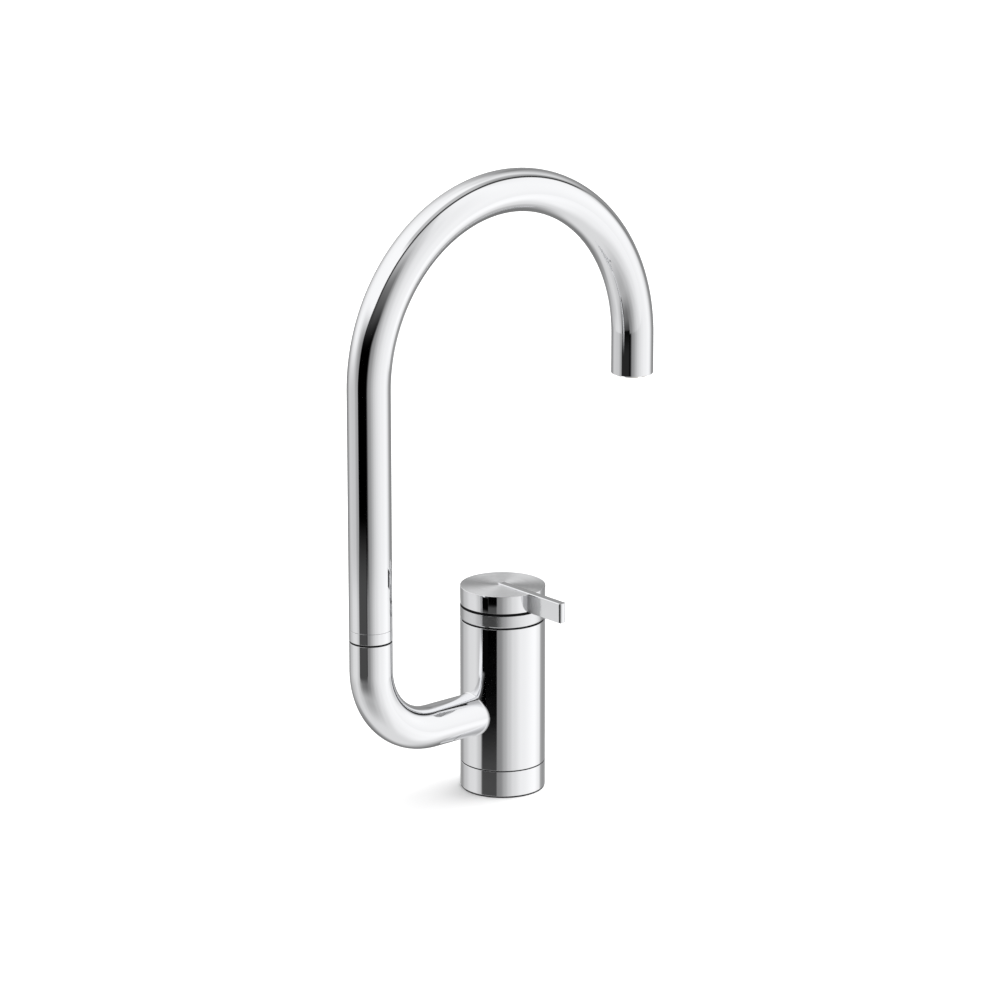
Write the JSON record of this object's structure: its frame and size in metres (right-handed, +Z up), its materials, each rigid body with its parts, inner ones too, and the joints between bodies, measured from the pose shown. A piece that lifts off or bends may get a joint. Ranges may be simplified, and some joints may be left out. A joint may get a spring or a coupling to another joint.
{
  "type": "kitchen faucet",
  "caption": "Deck-mounted kitchen mixer faucet: round column with a tilting cap lever, side pipe and riser, and a gooseneck spout that swings on a collar.",
  "frame": {"origin": "on the worktop surface, at the centre of the valve column and of the deck hole it is clamped through", "axes": "+Z up along the column, +X towards the spout outlet at rest, -Y along the lever, away from the column"},
  "size_m": [0.244, 0.0848, 0.4623],
  "materials": {
    "chrome": "polished",
    "brass": "satin",
    "dark_brass": "satin",
    "steel": "satin",
    "black_rubber": "matte",
    "black_acetal": "satin",
    "white_nylon": "satin",
    "disc_ceramic": "satin"
  },
  "bodies": {
    "root": {"base_gasket": "black_rubber", "base_ring": "chrome", "body_seal": "black_rubber", "body_shell": "chrome", "valve_body": "brass", "outlet_seal": "black_rubber", "side_elbow": "chrome", "mounting_shank": "brass", "deck_rubber_washer": "black_rubber", "deck_steel_washer": "steel", "mounting_nut": "brass", "jack_screw_front": "steel", "jack_screw_rear": "steel", "cartridge_base_seal": "black_rubber", "cartridge_housing": "white_nylon", "ceramic_disc_fixed": "disc_ceramic", "cartridge_nut": "brass", "glide_ring": "black_acetal", "swivel_spigot": "brass", "spigot_o_ring_lower": "black_rubber", "spigot_o_ring_upper": "black_rubber", "spout_glide_washer": "black_acetal", "spigot_retaining_clip": "steel"},
    "temperature_carrier": {"dome_ring": "chrome", "cap_glide": "black_acetal", "spindle_carrier": "white_nylon", "spindle_pin": "steel"},
    "handle": {"handle_cap": "chrome", "lever_blade": "chrome", "spindle": "steel", "handle_set_screw": "steel", "set_screw_plug": "black_acetal"},
    "disc_slider": {"ceramic_disc_moving": "disc_ceramic", "disc_driver": "black_acetal"},
    "spout": {"spout_collar": "chrome", "spout_bearing_sleeve": "black_acetal", "spout_tube": "chrome", "aerator_housing": "dark_brass", "aerator_cartridge": "white_nylon", "aerator_washer": "black_rubber"}
  },
  "joints": [
    {"name": "handle_turn", "type": "hinge", "parent": "root", "child": "temperature_carrier", "pos_m": [0, 0, 0.097], "axis": [0, 0, 1], "range_deg": [-45, 45]},
    {"name": "lever_lift", "type": "hinge", "parent": "temperature_carrier", "child": "handle", "pos_m": [0, 0, 0.097], "axis": [-1, 0, 0], "range_deg": [0, 18]},
    {"name": "disc_slide", "type": "slide", "parent": "temperature_carrier", "child": "disc_slider", "axis": [0, -1, 0], "range_m": [0, 0.0035]},
    {"name": "spout_swivel", "type": "hinge", "parent": "root", "child": "spout", "pos_m": [-0.1076, 0, 0.12], "axis": [0, 0, 1], "continuous": true}
  ],
  "couplings": [
    {"joint": "disc_slide", "follows": "lever_lift", "m_per_rad": 0.011}
  ]
}
